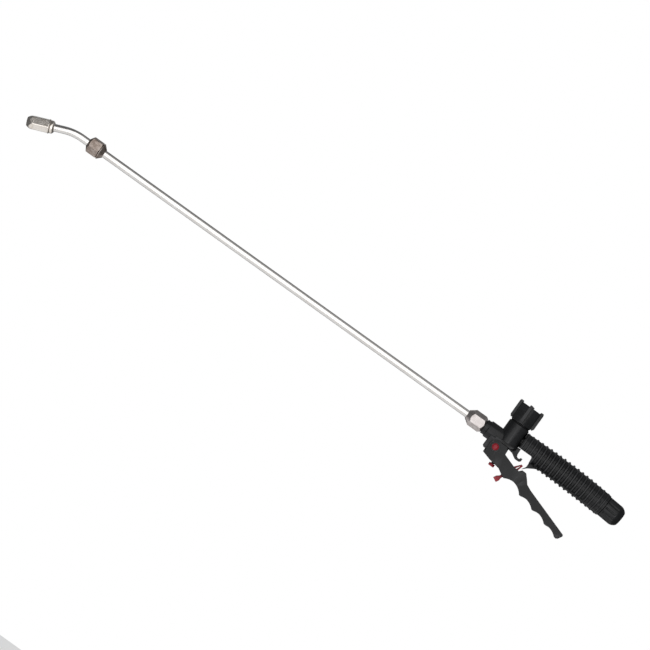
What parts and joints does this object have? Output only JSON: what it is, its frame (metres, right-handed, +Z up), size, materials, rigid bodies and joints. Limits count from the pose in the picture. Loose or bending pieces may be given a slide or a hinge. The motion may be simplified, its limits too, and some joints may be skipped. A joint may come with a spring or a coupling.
{
  "type": "spray lance with trigger handle",
  "caption": "Hand-held sprayer lance: bent stainless tube with adjustable nozzle, trigger shut-off valve with lock, ribbed grip and hose inlet.",
  "frame": {"origin": "middle of the hand grip, on its axis", "axes": "+X along the lance from the nozzle to the hose end, +Z up through the valve cap, away from the trigger; +Y is across the handle"},
  "size_m": [0.9166, 0.0364, 0.1202],
  "materials": {
    "black_plastic": "moulded near-black plastic with a soft sheen",
    "red_plastic": "moulded red plastic",
    "stainless": "polished stainless tube",
    "nickel_brass": "nickel plated brass, slightly pitted",
    "seal_rubber": "moulded rubber",
    "spring_steel": "drawn wire",
    "white_plastic": "natural moulded plastic",
    "mesh_steel": "woven stainless mesh",
    "ceramic": "smooth pale ceramic"
  },
  "bodies": {
    "handle": {"valve_body": "black_plastic", "grip_handle": "black_plastic", "valve_cap_seal": "seal_rubber", "valve_spring": "spring_steel", "stem_seal": "seal_rubber", "stem_gland": "nickel_brass", "trigger_pin": "red_plastic", "pin_clip": "spring_steel", "hose_spigot": "nickel_brass", "hose_gasket": "seal_rubber", "filter_cage": "white_plastic", "filter_mesh": "mesh_steel", "lance_seal": "seal_rubber"},
    "valve": {"valve_stem": "stainless", "plunger_washer": "seal_rubber", "valve_plunger": "nickel_brass"},
    "trigger": {"trigger_lever": "black_plastic", "adjuster_screw": "red_plastic", "lock_pin": "stainless"},
    "lock": {"lock_lever": "red_plastic"},
    "cap": {"valve_cap": "black_plastic"},
    "hose_coupling": {"hose_nut": "black_plastic"},
    "lance_coupling": {"lance_nut": "nickel_brass"},
    "lance": {"lance_tube": "stainless", "lance_ferrule": "nickel_brass", "elbow_ferrule": "nickel_brass", "elbow_seal": "seal_rubber", "lance_fitting": "nickel_brass", "elbow_tube": "stainless", "nozzle_body": "nickel_brass", "nozzle_gasket": "seal_rubber", "orifice_disc": "ceramic", "swirl_core": "nickel_brass", "nozzle_strainer": "white_plastic"},
    "elbow_coupling": {"elbow_nut": "nickel_brass"},
    "spray_cap": {"nozzle_cap": "nickel_brass"}
  },
  "joints": [
    {"name": "trigger_pull", "type": "hinge", "parent": "handle", "child": "trigger", "pos_m": [-0.0909, 0, -0.0232], "axis": [0, -1, 0], "range_deg": [0, 14], "stiffness_Nm_per_rad": 0.6, "springref_deg": -14.32},
    {"name": "valve_lift", "type": "slide", "parent": "handle", "child": "valve", "axis": [0, 0, 1], "range_m": [0, 0.0025], "stiffness_N_per_m": 400, "springref_m": -0.004, "deforming": ["valve_spring"]},
    {"name": "lock_swing", "type": "hinge", "parent": "trigger", "child": "lock", "pos_m": [-0.0563, 0, -0.0386], "axis": [0, -1, 0], "range_deg": [-6, 1]},
    {"name": "lance_turn", "type": "hinge", "parent": "handle", "child": "lance", "pos_m": [-0.2, 0, -0.0098], "axis": [-1, 0, 0], "range_deg": [-180, 180]},
    {"name": "lance_nut_turn", "type": "hinge", "parent": "handle", "child": "lance_coupling", "pos_m": [-0.13, 0, -0.0098], "axis": [-1, 0, 0], "continuous": true},
    {"name": "elbow_nut_turn", "type": "hinge", "parent": "lance", "child": "elbow_coupling", "pos_m": [-0.73, 0, -0.0098], "axis": [-1, 0, 0], "continuous": true},
    {"name": "nozzle_turn", "type": "hinge", "parent": "lance", "child": "spray_cap", "pos_m": [-0.79304, 0, -0.02221], "axis": [-0.9272, 0, -0.3746], "range_deg": [0, 180]},
    {"name": "hose_nut_turn", "type": "hinge", "parent": "handle", "child": "hose_coupling", "pos_m": [0.08055, 0, -0.00474], "axis": [0.997, 0, -0.0771], "continuous": true},
    {"name": "valve_cap_turn", "type": "hinge", "parent": "handle", "child": "cap", "pos_m": [-0.0806, 0, 0.03], "axis": [0, 0, 1], "continuous": true}
  ],
  "couplings": [
    {"joint": "valve_lift", "follows": "trigger_pull", "m_per_rad": 0.0095}
  ]
}
